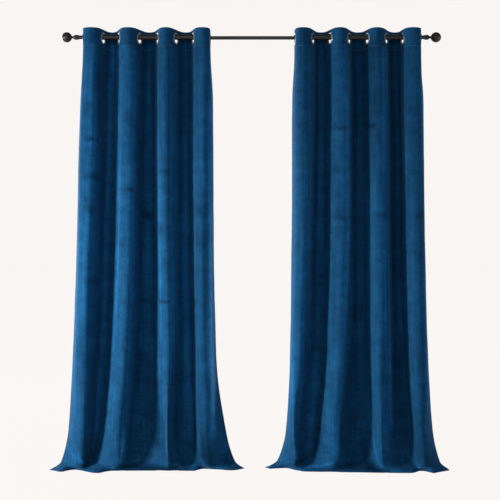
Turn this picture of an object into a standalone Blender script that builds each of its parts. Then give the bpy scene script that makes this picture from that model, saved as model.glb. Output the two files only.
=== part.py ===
"""A pair of eyelet curtains hanging in folds from a telescopic rod with ball finials.

Metres, +Z up. X runs along the rod, -Y faces the room, and the origin is the middle of the rod's axis.
"""
from collections import namedtuple
from math import pi

import bmesh
import bpy
from mathutils import Matrix, Vector

# Rod: two outer tubes, an inner tube that lies in the bottom of their bores, and the finials
FIT_GAP = 0.0003
OUTER_RADIUS = 0.0125
OUTER_BORE = 0.0115
OUTER_LEFT = (-0.8105, -0.1945)
OUTER_RIGHT = (0.2065, 0.8185)
INNER_RADIUS = 0.0085
INNER_BORE = 0.0075
INNER_LAP = 0.1800
INNER_DROP = OUTER_BORE - INNER_RADIUS - FIT_GAP
ROD_STEPS = 16

BALL_RADIUS = 0.0245
BALL_AXIS_LEFT = -0.8870
BALL_AXIS_RIGHT = 0.8884
NECK_RADIUS = 0.0052
BULGE_RADIUS = 0.0122
BULGE_FROM_BALL = 0.0440
TAPER_RADIUS = 0.0085
COLLAR_LENGTH = 0.0016
SPIGOT_LENGTH = 0.0150
FINIAL_STEPS = 16

# Eyelets: a spool-shaped ring, its groove a little wider than the cloth
CLOTH = 0.0020
EYELET_BORE = 0.0210
EYELET_BARREL = 0.0227
EYELET_FLANGE = 0.0300
EYELET_FLANGE_THICK = 0.0012
CLOTH_HOLE = 0.0234
EYELET_STEPS = 16
EYELET_DROP = EYELET_BORE - OUTER_RADIUS - 1.2 * FIT_GAP

# Heights of the cloth above the rod's axis
HEAD_TOP = 0.0360
BAND_FOOT = -0.0500
CHEST = -0.3000
MID = -0.9000
LOW = -1.5300
KNEE = -1.8900
BREAK = -2.0450
FLOOR = -2.0780
X_HEIGHTS = (BAND_FOOT, CHEST, MID, LOW, KNEE, BREAK, FLOOR)
Y_HEIGHTS = (BAND_FOOT, MID, KNEE, BREAK)
ROUND_HEIGHTS = (BAND_FOOT, LOW, KNEE, FLOOR)

# Rows of the cloth's mesh between those heights, and its columns from one turn of the cloth to the next.
# The columns on each side of the middle stand clear of the eyelet, so the cloth is flat around it.
ROWS_TO_KNEE = 8
ROWS_TO_BREAK = 2
ROWS_TO_FLOOR = 3
FLAT_START = 0.33
FLAT_END = 0.67
COLUMNS = (0.0, 0.10, 0.20, FLAT_START, 0.50, FLAT_END, 0.80, 0.90)

# One row for each turn of the cloth, from its left edge to its right edge: the side edges, the four
# front folds and the three back folds between them. The x columns place the turn along the rod at seven
# heights, the y columns give its depth at four, and the last four say how broadly it turns. The hem's
# rows follow the line that it makes on the floor.
Turn = namedtuple("Turn", (
    "name", "x_rail", "x_chest", "x_mid", "x_low", "x_knee", "x_break", "x_floor",
    "y_rail", "y_mid", "y_knee", "y_break", "round_rail", "round_low", "round_knee", "round_floor"))
Hem = namedtuple("Hem", ("x", "y"))

LEFT_TURNS = (
    Turn("edge_left", -0.803, -0.824, -0.844, -0.867, -0.886, -0.918, -0.968,
         0.067, 0.066, 0.048, 0.020, 0.000, 0.015, 0.020, 0.040),
    Turn("front_1", -0.7640, -0.771, -0.784, -0.798, -0.806, -0.812, -0.830,
         -0.067, -0.068, -0.060, -0.055, 0.205, 0.160, 0.140, 0.090),
    Turn("back_1", -0.6765, -0.685, -0.701, -0.723, -0.750, -0.772, -0.782,
         0.067, 0.060, 0.036, -0.002, 0.125, 0.120, 0.110, 0.050),
    Turn("front_2", -0.5870, -0.588, -0.593, -0.608, -0.635, -0.648, -0.664,
         -0.067, -0.070, -0.070, -0.063, 0.165, 0.125, 0.140, 0.090),
    Turn("back_2", -0.4940, -0.498, -0.502, -0.508, -0.522, -0.530, -0.540,
         0.067, 0.060, 0.044, 0.010, 0.135, 0.190, 0.300, 0.220),
    Turn("front_3", -0.4080, -0.408, -0.405, -0.398, -0.399, -0.398, -0.390,
         -0.067, -0.066, -0.062, -0.056, 0.140, 0.100, 0.035, 0.030),
    Turn("back_3", -0.3170, -0.318, -0.317, -0.309, -0.301, -0.290, -0.284,
         0.067, 0.064, 0.044, 0.014, 0.135, 0.125, 0.135, 0.120),
    Turn("front_4", -0.2330, -0.232, -0.229, -0.222, -0.218, -0.211, -0.206,
         -0.067, -0.064, -0.052, -0.042, 0.175, 0.155, 0.110, 0.070),
    Turn("edge_right", -0.203, -0.188, -0.186, -0.171, -0.125, -0.080, -0.034,
         0.067, 0.068, 0.060, 0.048, 0.000, 0.015, 0.020, 0.040),
)

RIGHT_TURNS = (
    Turn("edge_left", 0.213, 0.200, 0.198, 0.190, 0.170, 0.128, 0.064,
         0.067, 0.068, 0.068, 0.060, 0.000, 0.015, 0.020, 0.040),
    Turn("front_1", 0.2465, 0.246, 0.242, 0.222, 0.202, 0.208, 0.214,
         -0.067, -0.064, -0.058, -0.048, 0.170, 0.120, 0.070, 0.050),
    Turn("back_1", 0.3390, 0.337, 0.333, 0.320, 0.294, 0.268, 0.260,
         0.067, 0.064, 0.040, 0.004, 0.130, 0.125, 0.110, 0.060),
    Turn("front_2", 0.4225, 0.427, 0.428, 0.417, 0.390, 0.391, 0.382,
         -0.067, -0.069, -0.068, -0.061, 0.140, 0.135, 0.115, 0.080),
    Turn("back_2", 0.5190, 0.523, 0.527, 0.530, 0.530, 0.538, 0.540,
         0.067, 0.060, 0.044, 0.004, 0.140, 0.160, 0.240, 0.220),
    Turn("front_3", 0.5985, 0.602, 0.607, 0.612, 0.617, 0.626, 0.640,
         -0.067, -0.067, -0.066, -0.066, 0.145, 0.130, 0.070, 0.050),
    Turn("back_3", 0.6985, 0.704, 0.709, 0.726, 0.750, 0.766, 0.774,
         0.067, 0.060, 0.036, -0.008, 0.135, 0.130, 0.150, 0.090),
    Turn("front_4", 0.7720, 0.773, 0.783, 0.796, 0.810, 0.824, 0.834,
         -0.067, -0.070, -0.072, -0.078, 0.200, 0.160, 0.120, 0.080),
    Turn("edge_right", 0.811, 0.833, 0.841, 0.859, 0.878, 0.909, 0.950,
         0.067, 0.066, 0.040, 0.006, 0.000, 0.015, 0.020, 0.040),
)

LEFT_HEM = (
    Hem(-0.968, -0.014), Hem(-0.907, -0.056), Hem(-0.850, -0.006), Hem(-0.793, -0.046),
    Hem(-0.730, -0.088), Hem(-0.666, -0.034), Hem(-0.460, -0.028), Hem(-0.275, -0.032),
    Hem(-0.232, 0.012), Hem(-0.092, -0.020), Hem(-0.034, 0.024))

RIGHT_HEM = (
    Hem(0.064, 0.050), Hem(0.092, 0.018), Hem(0.170, 0.036), Hem(0.211, -0.014),
    Hem(0.248, -0.046), Hem(0.516, -0.071), Hem(0.756, -0.087), Hem(0.818, -0.034),
    Hem(0.864, -0.090), Hem(0.888, -0.070), Hem(0.950, -0.022))


def clear_scene():
    """Remove every object that the file opened with."""
    for thing in list(bpy.data.objects):
        bpy.data.objects.remove(thing, do_unlink=True)


def material(name, colour, roughness, metallic):
    """A Principled material with one colour and finish."""
    made = bpy.data.materials.new(name)
    made.use_nodes = True
    shader = made.node_tree.nodes["Principled BSDF"]
    shader.inputs["Base Color"].default_value = (*colour, 1.0)
    shader.inputs["Roughness"].default_value = roughness
    shader.inputs["Metallic"].default_value = metallic
    made.diffuse_color = (*colour, 1.0)
    return made


def add_object(name, mesh_data, finish):
    """Link a mesh as a named object, with its material on its faces."""
    if finish.name not in mesh_data.materials:
        mesh_data.materials.append(finish)
    made = bpy.data.objects.new(name, mesh_data)
    bpy.context.scene.collection.objects.link(made)
    return made


def blend_slopes(heights, values):
    """Slopes for a smooth curve through values at falling heights, with no overshoot."""
    runs = [(values[i + 1] - values[i]) / (heights[i + 1] - heights[i]) for i in range(len(values) - 1)]
    slopes = [0.0]
    for before, after in zip(runs, runs[1:]):
        same_way = before * after > 0.0
        slopes.append(2.0 * before * after / (before + after) if same_way else 0.0)
    slopes.append(runs[-1])
    return slopes


def hermite(start, end, start_slope, end_slope, t):
    """A cubic from start to end, t from 0 to 1, with a slope at each end."""
    rise = t * t * (3.0 - 2.0 * t)
    return (start + (end - start) * rise
            + start_slope * t * (1.0 - t) ** 2 - end_slope * t * t * (1.0 - t))


def at_height(heights, values, z):
    """The value at height z, constant above the first height and below the last."""
    if z >= heights[0]:
        return values[0]
    if z <= heights[-1]:
        return values[-1]
    slopes = blend_slopes(heights, values)
    i = max(n for n in range(len(heights) - 1) if heights[n] > z)
    span = heights[i + 1] - heights[i]
    return hermite(values[i], values[i + 1], slopes[i] * span, slopes[i + 1] * span, (z - heights[i]) / span)


def turn_at(turn, z):
    """Where a turn of the cloth lies at a height, and how broadly it turns there."""
    along = (turn.x_rail, turn.x_chest, turn.x_mid, turn.x_low, turn.x_knee, turn.x_break, turn.x_floor)
    deep = (turn.y_rail, turn.y_mid, turn.y_knee, turn.y_break)
    broad = (turn.round_rail, turn.round_low, turn.round_knee, turn.round_floor)
    return at_height(X_HEIGHTS, along, z), at_height(Y_HEIGHTS, deep, z), at_height(ROUND_HEIGHTS, broad, z)


def between(start, end, t):
    """A point of the cloth's section between two turns. It leaves and meets them along the rod,
    and is straight across the middle, where an eyelet sits."""
    if FLAT_START < t < FLAT_END:
        near = between(start, end, FLAT_START)
        far = between(start, end, FLAT_END)
        share = (t - FLAT_START) / (FLAT_END - FLAT_START)
        return near[0] + (far[0] - near[0]) * share, near[1] + (far[1] - near[1]) * share
    x = hermite(start[0], end[0], start[2], end[2], t)
    y = hermite(start[1], end[1], 0.0, 0.0, t)
    return x, y


def hem_depth(hem, x):
    """How deep the hem lies on the floor at x, read from the left end of its table."""
    return at_height([-spot.x for spot in hem], [spot.y for spot in hem], -x)


def section(turns, hem, z):
    """The cloth's section at a height, from its left edge to its right edge. Below the break its
    folds give way to the line of the hem on the floor."""
    spots = [turn_at(turn, z) for turn in turns]
    points = [between(start, end, t) for start, end in zip(spots, spots[1:]) for t in COLUMNS]
    points.append(between(spots[-2], spots[-1], 1.0))
    lying = max(0.0, (BREAK - z) / (BREAK - FLOOR))
    return [(x, y + (hem_depth(hem, x) - y) * lying) for x, y in points]


def even_steps(top, foot, count):
    """Heights from just under top down to foot, evenly spaced."""
    return [top + (foot - top) * n / count for n in range(1, count + 1)]


def row_heights():
    """The heights of the cloth's rows, from its top edge to the floor."""
    rows = [HEAD_TOP, BAND_FOOT]
    rows += even_steps(BAND_FOOT, KNEE, ROWS_TO_KNEE)
    rows += even_steps(KNEE, BREAK, ROWS_TO_BREAK)
    rows += even_steps(BREAK, FLOOR, ROWS_TO_FLOOR)
    return rows


def eyelet_places(turns):
    """For each eyelet, its centre and the direction of its axis, from the flat cloth between two turns."""
    spots = [turn_at(turn, BAND_FOOT) for turn in turns]
    places = []
    for start, end in zip(spots, spots[1:]):
        near = Vector((*between(start, end, FLAT_START), 0.0))
        far = Vector((*between(start, end, FLAT_END), 0.0))
        along = (far - near).normalized()
        centre = (near + far) / 2.0
        centre.z = -EYELET_DROP
        places.append((centre, Vector((-along.y, along.x, 0.0))))
    return places


def facing(centre, axis):
    """A placement that stands a turned piece at centre with its own Z axis along axis."""
    return Matrix.Translation(centre) @ axis.to_track_quat("Z", "Y").to_matrix().to_4x4()


def turned_mesh(name, profile, steps, closed):
    """A mesh turned about Z from (radius, height) points; a closed profile makes a ring."""
    work = bmesh.new()
    verts = [work.verts.new((radius, 0.0, height)) for radius, height in profile]
    edges = [work.edges.new(pair) for pair in zip(verts, verts[1:])]
    if closed:
        edges.append(work.edges.new((verts[-1], verts[0])))
    bmesh.ops.spin(work, geom=verts + edges, cent=(0.0, 0.0, 0.0), axis=(0.0, 0.0, 1.0),
                   angle=2.0 * pi, steps=steps, use_merge=True)
    bmesh.ops.remove_doubles(work, verts=work.verts, dist=0.00001)
    bmesh.ops.recalc_face_normals(work, faces=work.faces)
    data = bpy.data.meshes.new(name)
    work.to_mesh(data)
    work.free()
    data.shade_smooth()
    data.set_sharp_from_angle(angle=pi / 5.0)
    return data


def hole_cutters(name, places):
    """One mesh of short round bars, one through each eyelet's place."""
    work = bmesh.new()
    for centre, axis in places:
        bmesh.ops.create_cone(work, cap_ends=True, segments=EYELET_STEPS, radius1=CLOTH_HOLE,
                              radius2=CLOTH_HOLE, depth=10.0 * CLOTH, matrix=facing(centre, axis))
    data = bpy.data.meshes.new(name)
    work.to_mesh(data)
    work.free()
    cutter = bpy.data.objects.new(name, data)
    bpy.context.scene.collection.objects.link(cutter)
    cutter.hide_render = True
    cutter.display_type = "WIRE"
    return cutter


def curtain(name, turns, hem, velvet):
    """One panel: its folds as a thin sheet of even thickness, with a round hole for each eyelet."""
    heights = row_heights()
    wide = len(COLUMNS) * (len(turns) - 1) + 1
    points = [(x, y, z) for z in heights for x, y in section(turns, hem, z)]
    faces = []
    for row in range(len(heights) - 1):
        for column in range(wide - 1):
            corner = row * wide + column
            faces.append((corner, corner + wide, corner + wide + 1, corner + 1))
    data = bpy.data.meshes.new(name)
    data.from_pydata(points, [], faces)
    data.shade_smooth()
    panel = add_object(name, data, velvet)
    sheet = panel.modifiers.new("cloth", "SOLIDIFY")
    sheet.thickness = CLOTH
    sheet.offset = 0.0
    holes = panel.modifiers.new("eyelet_holes", "BOOLEAN")
    holes.operation = "DIFFERENCE"
    holes.solver = "EXACT"
    holes.object = hole_cutters(name + "_hole_bars", eyelet_places(turns))
    return panel


def eyelet_mesh():
    """The spool-shaped ring that every eyelet shares."""
    groove = CLOTH / 2.0 + FIT_GAP
    face = groove + EYELET_FLANGE_THICK
    profile = (
        (EYELET_BORE, -face), (EYELET_FLANGE, -face), (EYELET_FLANGE, -groove), (EYELET_BARREL, -groove),
        (EYELET_BARREL, groove), (EYELET_FLANGE, groove), (EYELET_FLANGE, face), (EYELET_BORE, face))
    return turned_mesh("eyelet", profile, EYELET_STEPS, closed=True)


def eyelets(side, turns, shared, metal):
    """The eyelets of one panel, numbered from its left edge."""
    for number, (centre, axis) in enumerate(eyelet_places(turns), start=1):
        ring = add_object(f"eyelet_{side}_{number}", shared, metal)
        ring.matrix_world = facing(centre, axis)


def tube(name, start, end, radius, bore, drop, black):
    """A tube along X from start to end, its axis drop below the rod's."""
    length = end - start
    profile = ((radius, 0.0), (radius, length), (bore, length), (bore, 0.0))
    made = add_object(name, turned_mesh(name, profile, ROD_STEPS, closed=True), black)
    made.matrix_world = facing(Vector((start, 0.0, -drop)), Vector((1.0, 0.0, 0.0)))
    return made


def finial(name, ball_axis, tube_end, black):
    """A ball on a turned neck, with a collar against the tube's end and a spigot in its bore."""
    reach = abs(ball_axis - tube_end) - FIT_GAP
    profile = [(0.0, -BALL_RADIUS)]
    for degrees in (-72, -54, -36, -18, 0, 18, 36, 54, 68):
        around = Matrix.Rotation(degrees * pi / 180.0, 2) @ Vector((BALL_RADIUS, 0.0))
        profile.append((around.x, around.y))
    profile += [
        (NECK_RADIUS, BALL_RADIUS + 0.0020),
        (NECK_RADIUS, BALL_RADIUS + 0.0050),
        (0.75 * BULGE_RADIUS, BULGE_FROM_BALL - 0.0090),
        (0.95 * BULGE_RADIUS, BULGE_FROM_BALL - 0.0040),
        (BULGE_RADIUS, BULGE_FROM_BALL),
        (0.90 * BULGE_RADIUS, BULGE_FROM_BALL + 0.0100),
        (TAPER_RADIUS, reach - COLLAR_LENGTH - 0.0080),
        (TAPER_RADIUS, reach - COLLAR_LENGTH),
        (OUTER_RADIUS, reach - COLLAR_LENGTH),
        (OUTER_RADIUS, reach),
        (OUTER_BORE - FIT_GAP, reach),
        (OUTER_BORE - FIT_GAP, reach + SPIGOT_LENGTH),
        (0.0, reach + SPIGOT_LENGTH)]
    made = add_object(name, turned_mesh(name, profile, FINIAL_STEPS, closed=False), black)
    inward = 1.0 if tube_end > ball_axis else -1.0
    made.matrix_world = facing(Vector((ball_axis, 0.0, 0.0)), Vector((inward, 0.0, 0.0)))
    return made


def rod(black):
    """The telescopic rod: outer tubes at both ends, the inner tube between them, and the finials."""
    tube("rod_outer_left", *OUTER_LEFT, OUTER_RADIUS, OUTER_BORE, 0.0, black)
    tube("rod_outer_right", *OUTER_RIGHT, OUTER_RADIUS, OUTER_BORE, 0.0, black)
    tube("rod_inner", OUTER_LEFT[1] - INNER_LAP, OUTER_RIGHT[0] + INNER_LAP,
         INNER_RADIUS, INNER_BORE, INNER_DROP, black)
    finial("finial_left", BALL_AXIS_LEFT, OUTER_LEFT[0], black)
    finial("finial_right", BALL_AXIS_RIGHT, OUTER_RIGHT[1], black)


def build():
    clear_scene()
    velvet = material("velvet", (0.010, 0.068, 0.150), 0.85, 0.0)
    metal = material("eyelet_metal", (0.720, 0.730, 0.750), 0.25, 1.0)
    black = material("rod_black", (0.020, 0.018, 0.017), 0.45, 0.60)
    rod(black)
    ring = eyelet_mesh()
    for side, turns, hem in (("left", LEFT_TURNS, LEFT_HEM), ("right", RIGHT_TURNS, RIGHT_HEM)):
        curtain("curtain_" + side, turns, hem, velvet)
        eyelets(side, turns, ring, metal)


build()
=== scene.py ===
"""Looks of a pair of velvet eyelet curtains on a telescopic rod.

Metres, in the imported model's frame: X along the rod, -Y towards the room, +Z up.
"""
from collections import namedtuple
from math import atan, cos, pi, sin

import bmesh
import bpy
import numpy as np
from mathutils import Matrix, Vector, noise


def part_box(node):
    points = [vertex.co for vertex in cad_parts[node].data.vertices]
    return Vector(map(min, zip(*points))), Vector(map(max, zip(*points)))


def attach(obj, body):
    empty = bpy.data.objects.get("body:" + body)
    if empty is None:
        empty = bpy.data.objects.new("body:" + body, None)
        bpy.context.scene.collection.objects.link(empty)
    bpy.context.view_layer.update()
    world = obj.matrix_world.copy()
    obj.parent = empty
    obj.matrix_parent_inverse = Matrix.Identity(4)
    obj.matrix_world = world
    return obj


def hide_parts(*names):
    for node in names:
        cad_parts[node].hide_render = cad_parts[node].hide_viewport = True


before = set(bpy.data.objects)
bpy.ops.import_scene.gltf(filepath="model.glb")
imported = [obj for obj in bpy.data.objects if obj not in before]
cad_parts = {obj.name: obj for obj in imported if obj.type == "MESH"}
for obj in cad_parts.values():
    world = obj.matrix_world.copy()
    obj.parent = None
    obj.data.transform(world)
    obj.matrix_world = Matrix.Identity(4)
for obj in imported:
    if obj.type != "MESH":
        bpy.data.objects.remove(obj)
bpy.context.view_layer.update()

# Rod, finials and eyelets, as in the solids
FIT_GAP = 0.0003
OUTER_RADIUS = 0.0125
OUTER_BORE = 0.0115
INNER_RADIUS = 0.0085
INNER_BORE = 0.0075
INNER_DROP = OUTER_BORE - INNER_RADIUS - FIT_GAP
BALL_RADIUS = 0.0245
NECK_RADIUS = 0.0052
BULGE_RADIUS = 0.0122
BULGE_FROM_BALL = 0.0440
TAPER_RADIUS = 0.0085
COLLAR_LENGTH = 0.0016
SPIGOT_LENGTH = 0.0150
EYELET_BORE = 0.0210
EYELET_BARREL = 0.0227
EYELET_FLANGE = 0.0300
EYELET_DROP = EYELET_BORE - OUTER_RADIUS - 1.2 * FIT_GAP

# How finely the hard pieces are turned, how much of a tube's wall its softened lips take, and the ball's
# outline in degrees, from near its pole to its neck
TURNED_STEPS = 72
RING_STEPS = 56
ROLL_STEPS = 5
BALL_STEPS = 40
TUBE_LIP = 0.35
BALL_POLE = -86.0
BALL_SHOULDER = 70.0

# The finial's turned neck, from the ball towards the tube: its radius at each distance from the ball's
# centre. Its collar has a fine bevel, and the taper runs straight for a short way before it.
Station = namedtuple("Station", ("radius", "from_ball"))
NECK = (
    Station(NECK_RADIUS + 0.0010, BALL_RADIUS + 0.0006), Station(NECK_RADIUS, BALL_RADIUS + 0.0022),
    Station(NECK_RADIUS, BALL_RADIUS + 0.0046), Station(NECK_RADIUS + 0.0014, BALL_RADIUS + 0.0070),
    Station(0.75 * BULGE_RADIUS, BULGE_FROM_BALL - 0.0090),
    Station(0.88 * BULGE_RADIUS, BULGE_FROM_BALL - 0.0062),
    Station(0.97 * BULGE_RADIUS, BULGE_FROM_BALL - 0.0032), Station(BULGE_RADIUS, BULGE_FROM_BALL),
    Station(0.97 * BULGE_RADIUS, BULGE_FROM_BALL + 0.0050),
    Station(0.90 * BULGE_RADIUS, BULGE_FROM_BALL + 0.0100),
    Station(0.79 * BULGE_RADIUS, BULGE_FROM_BALL + 0.0160))
TAPER_END = 0.0060
COLLAR_BEVEL = 0.0003

# The pressed ring in section: its groove and faces from the cloth's middle, the roll around its bore,
# and its domed flange with a curled rim
RING_GROOVE = 0.0013
RING_FACE = 0.0025
RING_DOME = 0.0002
RING_SHOULDER = 0.0030
BORE_ROLL = 0.0012
RIM_ROLL = 0.0006
RIM_TUCK = 0.0004

# Cloth
CLOTH = 0.0016
BAND_EXTRA = 0.0003
CLOTH_HOLE = 0.0238
RIM_REACH = 1.6
RIM_BELOW_TOP = 0.001
HEAD_TOP = 0.0360
BAND_FOOT = -0.0500
CHEST = -0.3000
MID = -0.9000
LOW = -1.5300
KNEE = -1.8900
BREAK = -2.0450
FLOOR = -2.0780
X_HEIGHTS = (BAND_FOOT, CHEST, MID, LOW, KNEE, BREAK, FLOOR)
Y_HEIGHTS = (BAND_FOOT, MID, KNEE, BREAK)
ROUND_HEIGHTS = (BAND_FOOT, LOW, KNEE, FLOOR)
FLAT_START = 0.33
FLAT_END = 0.67

# One row for each turn of the cloth, from its left edge to its right edge, as in the solids
Turn = namedtuple("Turn", (
    "name", "x_rail", "x_chest", "x_mid", "x_low", "x_knee", "x_break", "x_floor",
    "y_rail", "y_mid", "y_knee", "y_break", "round_rail", "round_low", "round_knee", "round_floor"))
Hem = namedtuple("Hem", ("x", "y"))

LEFT_TURNS = (
    Turn("edge_left", -0.803, -0.824, -0.844, -0.867, -0.886, -0.918, -0.968,
         0.067, 0.066, 0.048, 0.020, 0.000, 0.015, 0.020, 0.040),
    Turn("front_1", -0.7640, -0.771, -0.784, -0.798, -0.806, -0.812, -0.830,
         -0.067, -0.068, -0.060, -0.055, 0.205, 0.160, 0.140, 0.090),
    Turn("back_1", -0.6765, -0.685, -0.701, -0.723, -0.750, -0.772, -0.782,
         0.067, 0.060, 0.036, -0.002, 0.125, 0.120, 0.110, 0.050),
    Turn("front_2", -0.5870, -0.588, -0.593, -0.608, -0.635, -0.648, -0.664,
         -0.067, -0.070, -0.070, -0.063, 0.165, 0.125, 0.140, 0.090),
    Turn("back_2", -0.4940, -0.498, -0.502, -0.508, -0.522, -0.530, -0.540,
         0.067, 0.060, 0.044, 0.010, 0.135, 0.190, 0.300, 0.220),
    Turn("front_3", -0.4080, -0.408, -0.405, -0.398, -0.399, -0.398, -0.390,
         -0.067, -0.066, -0.062, -0.056, 0.140, 0.100, 0.035, 0.030),
    Turn("back_3", -0.3170, -0.318, -0.317, -0.309, -0.301, -0.290, -0.284,
         0.067, 0.064, 0.044, 0.014, 0.135, 0.125, 0.135, 0.120),
    Turn("front_4", -0.2330, -0.232, -0.229, -0.222, -0.218, -0.211, -0.206,
         -0.067, -0.064, -0.052, -0.042, 0.175, 0.155, 0.110, 0.070),
    Turn("edge_right", -0.203, -0.188, -0.186, -0.171, -0.125, -0.080, -0.034,
         0.067, 0.068, 0.060, 0.048, 0.000, 0.015, 0.020, 0.040),
)

RIGHT_TURNS = (
    Turn("edge_left", 0.213, 0.200, 0.198, 0.190, 0.170, 0.128, 0.064,
         0.067, 0.068, 0.068, 0.060, 0.000, 0.015, 0.020, 0.040),
    Turn("front_1", 0.2465, 0.246, 0.242, 0.222, 0.202, 0.208, 0.214,
         -0.067, -0.064, -0.058, -0.048, 0.170, 0.120, 0.070, 0.050),
    Turn("back_1", 0.3390, 0.337, 0.333, 0.320, 0.294, 0.268, 0.260,
         0.067, 0.064, 0.040, 0.004, 0.130, 0.125, 0.110, 0.060),
    Turn("front_2", 0.4225, 0.427, 0.428, 0.417, 0.390, 0.391, 0.382,
         -0.067, -0.069, -0.068, -0.061, 0.140, 0.135, 0.115, 0.080),
    Turn("back_2", 0.5190, 0.523, 0.527, 0.530, 0.530, 0.538, 0.540,
         0.067, 0.060, 0.044, 0.004, 0.140, 0.160, 0.240, 0.220),
    Turn("front_3", 0.5985, 0.602, 0.607, 0.612, 0.617, 0.626, 0.640,
         -0.067, -0.067, -0.066, -0.066, 0.145, 0.130, 0.070, 0.050),
    Turn("back_3", 0.6985, 0.704, 0.709, 0.726, 0.750, 0.766, 0.774,
         0.067, 0.060, 0.036, -0.008, 0.135, 0.130, 0.150, 0.090),
    Turn("front_4", 0.7720, 0.773, 0.783, 0.796, 0.810, 0.824, 0.834,
         -0.067, -0.070, -0.072, -0.078, 0.200, 0.160, 0.120, 0.080),
    Turn("edge_right", 0.811, 0.833, 0.841, 0.859, 0.878, 0.909, 0.950,
         0.067, 0.066, 0.040, 0.006, 0.000, 0.015, 0.020, 0.040),
)

LEFT_HEM = (
    Hem(-0.968, -0.014), Hem(-0.907, -0.056), Hem(-0.850, -0.006), Hem(-0.793, -0.046),
    Hem(-0.730, -0.088), Hem(-0.666, -0.034), Hem(-0.460, -0.028), Hem(-0.275, -0.032),
    Hem(-0.232, 0.012), Hem(-0.092, -0.020), Hem(-0.034, 0.024))

RIGHT_HEM = (
    Hem(0.064, 0.050), Hem(0.092, 0.018), Hem(0.170, 0.036), Hem(0.211, -0.014),
    Hem(0.248, -0.046), Hem(0.516, -0.071), Hem(0.756, -0.087), Hem(0.818, -0.034),
    Hem(0.864, -0.090), Hem(0.888, -0.070), Hem(0.950, -0.022))

# The fine cloth's grid: columns between one turn and the next, and rows down to each height
COLUMNS_A_TURN = 20
Rows = namedtuple("Rows", ("down_to", "count"))
CLOTH_ROWS = (Rows(-0.0450, 17), Rows(-0.0550, 10), Rows(KNEE, 196), Rows(BREAK, 20), Rows(FLOOR, 22))

# The heading's seam, sewn just under the eyelets, and the turned edges behind the cloth
SEAM_DEPTH = 0.0009
SEAM_WIDTH = 0.0016
SIDE_HEM = 0.0260
FOOT_HEM = 0.0760
TURNED_CLOTH = 0.0012
HEM_GAP = 0.0001
HEM_COLUMNS = 8
EDGE_SEAM_INSET = 0.003

# A stitch: a tapered bead of thread, its girth given along its length
STITCH_LENGTH = 0.0030
STITCH_PITCH = 0.0042
STITCH_RADIUS = 0.00045
STITCH_SIDES = 6
Girth = namedtuple("Girth", ("along", "size"))
STITCH_GIRTHS = (Girth(0.0, 0.3), Girth(0.2, 1.0), Girth(0.8, 1.0), Girth(1.0, 0.3))

# Soft unevenness of the hanging cloth, which fades in below the heading's seam: each wave's height, how
# often it comes from one turn to the next and in a metre of height, and its start in the noise
Wave = namedtuple("Wave", ("height", "across", "down", "start"))
WAVES = (Wave(0.0022, 1.7, 2.3, 0.0), Wave(0.0008, 5.0, 9.0, 7.0))
WAVES_FADE_IN = 0.12

# Creases, crests with painted highlights, and painted shades, as seen from the front, with lengths in
# millimetres. Each follows a path of spots and fades over its width on both sides. It lifts the cloth
# towards the room by lift and paints its colour paler or darker by light, both times the share at its
# spots: paler is painted light, darker is painted shade, except in the crush creases, where it is crushed
# pile.
MILLIMETRES = 1000.0
At = namedtuple("At", ("x", "z", "share"), defaults=(1.0,))
Crease = namedtuple("Crease", ("name", "width", "lift", "light", "path"))

# Crush marks and patches of flattened pile, each a short straight crease between two spots
Mark = namedtuple(
    "Mark", ("width", "lift", "light", "x", "z", "to_x", "to_z", "share", "to_share"), defaults=(1.0, 1.0))

# Left panel: the shade creases are painted shade; the pale, front, side, foot, rim and return creases are
# painted light and highlights; the crests, toes and flare are lifted ridges with painted highlights along
# them, and valley_2 and the groove are pushed-back hollows with painted shade in them; crush_11 is a crush
# mark.
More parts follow.
